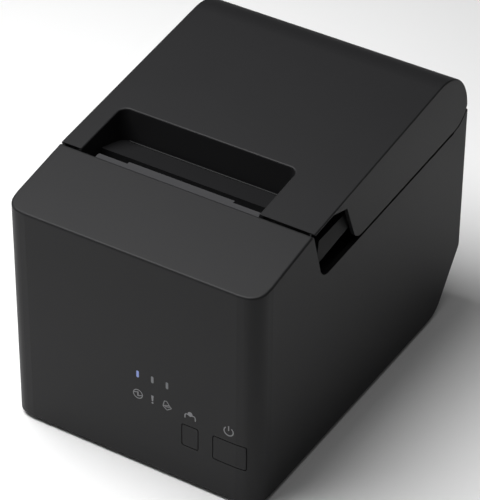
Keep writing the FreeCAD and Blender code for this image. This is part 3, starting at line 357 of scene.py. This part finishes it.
# Flat drawings on the front face
def flat_ring(mesh, x, z, outer, width, start=0.0, turn=math.tau, steps=40):
    """A ring or part of one, made by spinning a short edge; start 0 points up."""
    inner = outer - width
    low = mesh.verts.new((x + inner * math.sin(start), FRONT_Y, z + inner * math.cos(start)))
    high = mesh.verts.new((x + outer * math.sin(start), FRONT_Y, z + outer * math.cos(start)))
    edge = mesh.edges.new((low, high))
    bmesh.ops.spin(mesh, geom=[low, high, edge], cent=(x, FRONT_Y, z), axis=(0.0, 1.0, 0.0),
                   dvec=(0.0, 0.0, 0.0), angle=turn, steps=steps, use_merge=turn == math.tau,
                   use_normal_flip=False, use_duplicate=False)


def flat_disc(mesh, x, z, radius):
    place = Matrix.Translation((x, FRONT_Y, z)) @ Matrix.Rotation(math.pi / 2, 4, "X")
    bmesh.ops.create_circle(mesh, cap_ends=True, segments=32, radius=radius, matrix=place)


def flat_shape(mesh, x, z, corners):
    """A filled outline with its corners given in mm from the pictogram's centre."""
    points = [mesh.verts.new((x + a * MM, FRONT_Y, z + b * MM)) for a, b in corners]
    mesh.faces.new(points)


def flat_line(mesh, x, z, points, width):
    """A bent stroke through points given in mm from the pictogram's centre, in straight runs."""
    for (a0, b0), (a1, b1) in zip(points, points[1:]):
        run = Vector((a1 - a0, b1 - b0)).normalized() * (width / MM / 2)
        side = Vector((-run.y, run.x))
        flat_shape(mesh, x, z, [(a0 + side.x, b0 + side.y), (a0 - side.x, b0 - side.y),
                                (a1 - side.x, b1 - side.y), (a1 + side.x, b1 + side.y)])


def printed(name, draw, look):
    """Turns a flat drawing into a thin film of ink on the front face."""
    mesh = bmesh.new()
    draw(mesh, look.stroke)
    bmesh.ops.remove_doubles(mesh, verts=mesh.verts, dist=MERGE_DISTANCE)
    for face in mesh.faces:
        face.normal_update()
        if face.normal.y > 0:
            face.normal_flip()
    top = bmesh.ops.extrude_face_region(mesh, geom=mesh.faces[:])
    lifted = [item for item in top["geom"] if isinstance(item, bmesh.types.BMVert)]
    bmesh.ops.translate(mesh, verts=lifted, vec=(0.0, -look.film, 0.0))
    bmesh.ops.recalc_face_normals(mesh, faces=mesh.faces[:])
    return linked(name, mesh)


def linked(name, mesh):
    """Makes a finished bmesh an object of the scene."""
    data = bpy.data.meshes.new(name)
    mesh.to_mesh(data)
    mesh.free()
    item = bpy.data.objects.new(name, data)
    bpy.context.collection.objects.link(item)
    return item


def draw_supply(mesh, stroke):
    """Ring with a bolt: the supply lamp."""
    x, z = SUPPLY_AT
    thin, bold = stroke * 0.8, stroke * 1.2
    flat_ring(mesh, x, z, 2.75 * MM, thin)
    flat_line(mesh, x, z, [(-2.2, 0.5), (0.1, 1.2)], thin)
    flat_line(mesh, x, z, [(0.0, 1.5), (0.0, -1.3)], bold)
    flat_line(mesh, x, z, [(-0.1, -1.1), (2.2, -0.2)], thin)


def draw_warning(mesh, stroke):
    """Exclamation mark: the fault lamp. It is a filled shape, so the stroke isn't used."""
    x, z = WARNING_AT
    flat_shape(mesh, x, z, [(-0.6, 2.5), (-0.4, -0.8), (0.4, -0.8), (0.6, 2.5)])
    flat_disc(mesh, x, z - 1.9 * MM, 0.55 * MM)


def draw_roll(mesh, stroke):
    """Sheet standing out of a box: the paper lamp."""
    x, z = ROLL_AT
    thin = stroke * 0.75
    sheet = [(-2.3, -0.8), (-1.5, 2.3), (-0.2, 2.5), (1.2, 0.5)]
    box = [(-2.4, -0.9), (-0.1, -2.7), (2.4, -0.8), (1.2, 0.4), (-1.2, -0.3), (-2.4, -0.9)]
    slot = [(-1.2, -1.0), (1.4, -0.4)]
    for points in (sheet, box, slot):
        flat_line(mesh, x, z, points, thin)


def draw_feed(mesh, stroke):
    """Roll with a sheet hanging over both sides: the feed key."""
    x, z = FEED_AT
    flat_disc(mesh, x, z + 2.0 * MM, 1.35 * MM)
    for side in (-1, 1):
        flat_line(mesh, x, z, [(side * a, b) for a, b in HANGING_SHEET], stroke)


def draw_power(mesh, stroke):
    """Open ring with a stroke: the power key."""
    x, z = POWER_AT
    flat_ring(mesh, x, z, 2.8 * MM, stroke, start=math.radians(38), turn=math.radians(284), steps=36)
    flat_line(mesh, x, z, [(0.0, 0.3), (0.0, 3.2)], stroke)


PICTOGRAMS = {
    "supply_mark": draw_supply,
    "warning_mark": draw_warning,
    "roll_mark": draw_roll,
    "feed_mark": draw_feed,
    "power_mark": draw_power,
}


class PRINTER_OT_pictograms(bpy.types.Operator):
    """Prints the pictograms beside the lamps and keys"""
    bl_idname = "printer.pictograms"
    bl_label = "Pictograms"

    def execute(self, context):
        look = context.scene.printer_print
        ink = textured_plastic("printed_ink", tuple(look.ink), roughness=0.5, grain=1500.0)
        for name, draw in PICTOGRAMS.items():
            item = printed(name, draw, look)
            item.data.materials.append(ink)
            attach(item, "base")
        return {"FINISHED"}


def area_light(name, power, size, place, target):
    """A round soft light that faces its target."""
    data = bpy.data.lights.new(name, "AREA")
    data.shape = "DISK"
    data.size = size
    data.energy = power
    item = bpy.data.objects.new(name, data)
    item.location = place
    item.rotation_euler = (Vector(target) - Vector(place)).to_track_quat("-Z", "Y").to_euler()
    bpy.context.collection.objects.link(item)


def photo_camera(focal_length):
    """The camera at the photograph's place and angle."""
    lens = bpy.data.cameras.new("camera")
    lens.sensor_width = SENSOR_WIDTH
    lens.lens = focal_length
    lens.clip_end = FAR_CLIP
    camera = bpy.data.objects.new("camera", lens)
    back = CAMERA_RIGHT.cross(CAMERA_UP)
    turn = Matrix((CAMERA_RIGHT, CAMERA_UP, back)).transposed()
    camera.matrix_world = Matrix.Translation(CAMERA_PLACE) @ turn.to_4x4()
    bpy.context.collection.objects.link(camera)
    return camera


class PRINTER_OT_studio(bpy.types.Operator):
    """Sets up the pale floor, soft light and camera"""
    bl_idname = "printer.studio"
    bl_label = "Studio"

    def execute(self, context):
        look = context.scene.printer_studio
        mesh = bmesh.new()
        bmesh.ops.create_grid(mesh, x_segments=1, y_segments=1, size=FLOOR_REACH)
        floor = linked("floor", mesh)
        paint = Finish("floor_paint").set(Base_Color=(*look.floor, 1.0), Roughness=0.9)
        floor.data.materials.append(paint.material)
        world = bpy.data.worlds.new("studio")
        context.scene.world = world
        world.use_nodes = True
        sky = world.node_tree.nodes["Background"]
        sky.inputs["Color"].default_value = (1.0, 1.0, 1.0, 1.0)
        sky.inputs["Strength"].default_value = look.sky
        area_light("key_light", look.key, size=0.6, place=(-0.25, -0.15, 0.75), target=(-0.05, -0.1, 0.0))
        area_light("side_light", look.side, size=0.8, place=(-1.2, -0.6, 0.5), target=(0.0, 0.0, 0.08))
        area_light("fill_light", look.fill, size=1.2, place=(0.25, 0.0, 2.0), target=(0.25, 0.0, 0.0))
        context.scene.camera = photo_camera(look.lens)
        context.scene.view_settings.view_transform = "Standard"
        return {"FINISHED"}


OPERATORS = (PRINTER_OT_shell, PRINTER_OT_mechanism, PRINTER_OT_electronics, PRINTER_OT_lamps,
             PRINTER_OT_pictograms, PRINTER_OT_studio)


class PRINTER_PT_panel(bpy.types.Panel):
    """Lists the steps that dress the printer"""
    bl_label = "Receipt printer"
    bl_idname = "PRINTER_PT_panel"
    bl_space_type = "VIEW_3D"
    bl_region_type = "UI"
    bl_category = "Printer"

    def draw(self, context):
        for group in ("printer_plastic", "printer_print", "printer_studio"):
            settings = getattr(context.scene, group)
            column = self.layout.column()
            for name in settings.__annotations__:
                column.prop(settings, name)
        for operator in OPERATORS:
            self.layout.operator(operator.bl_idname)


CLASSES = (PlasticLook, PrintLook, StudioLook) + OPERATORS + (PRINTER_PT_panel,)


def register():
    for item in CLASSES:
        bpy.utils.register_class(item)
    bpy.types.Scene.printer_plastic = bpy.props.PointerProperty(type=PlasticLook)
    bpy.types.Scene.printer_print = bpy.props.PointerProperty(type=PrintLook)
    bpy.types.Scene.printer_studio = bpy.props.PointerProperty(type=StudioLook)


def unregister():
    del bpy.types.Scene.printer_studio
    del bpy.types.Scene.printer_print
    del bpy.types.Scene.printer_plastic
    for item in reversed(CLASSES):
        bpy.utils.unregister_class(item)


def main():
    register()
    bpy.ops.printer.shell()
    bpy.ops.printer.mechanism()
    bpy.ops.printer.electronics()
    bpy.ops.printer.lamps()
    bpy.ops.printer.pictograms()
    bpy.ops.printer.studio()
    bpy.context.view_layer.update()


if __name__ == "__main__":
    main()
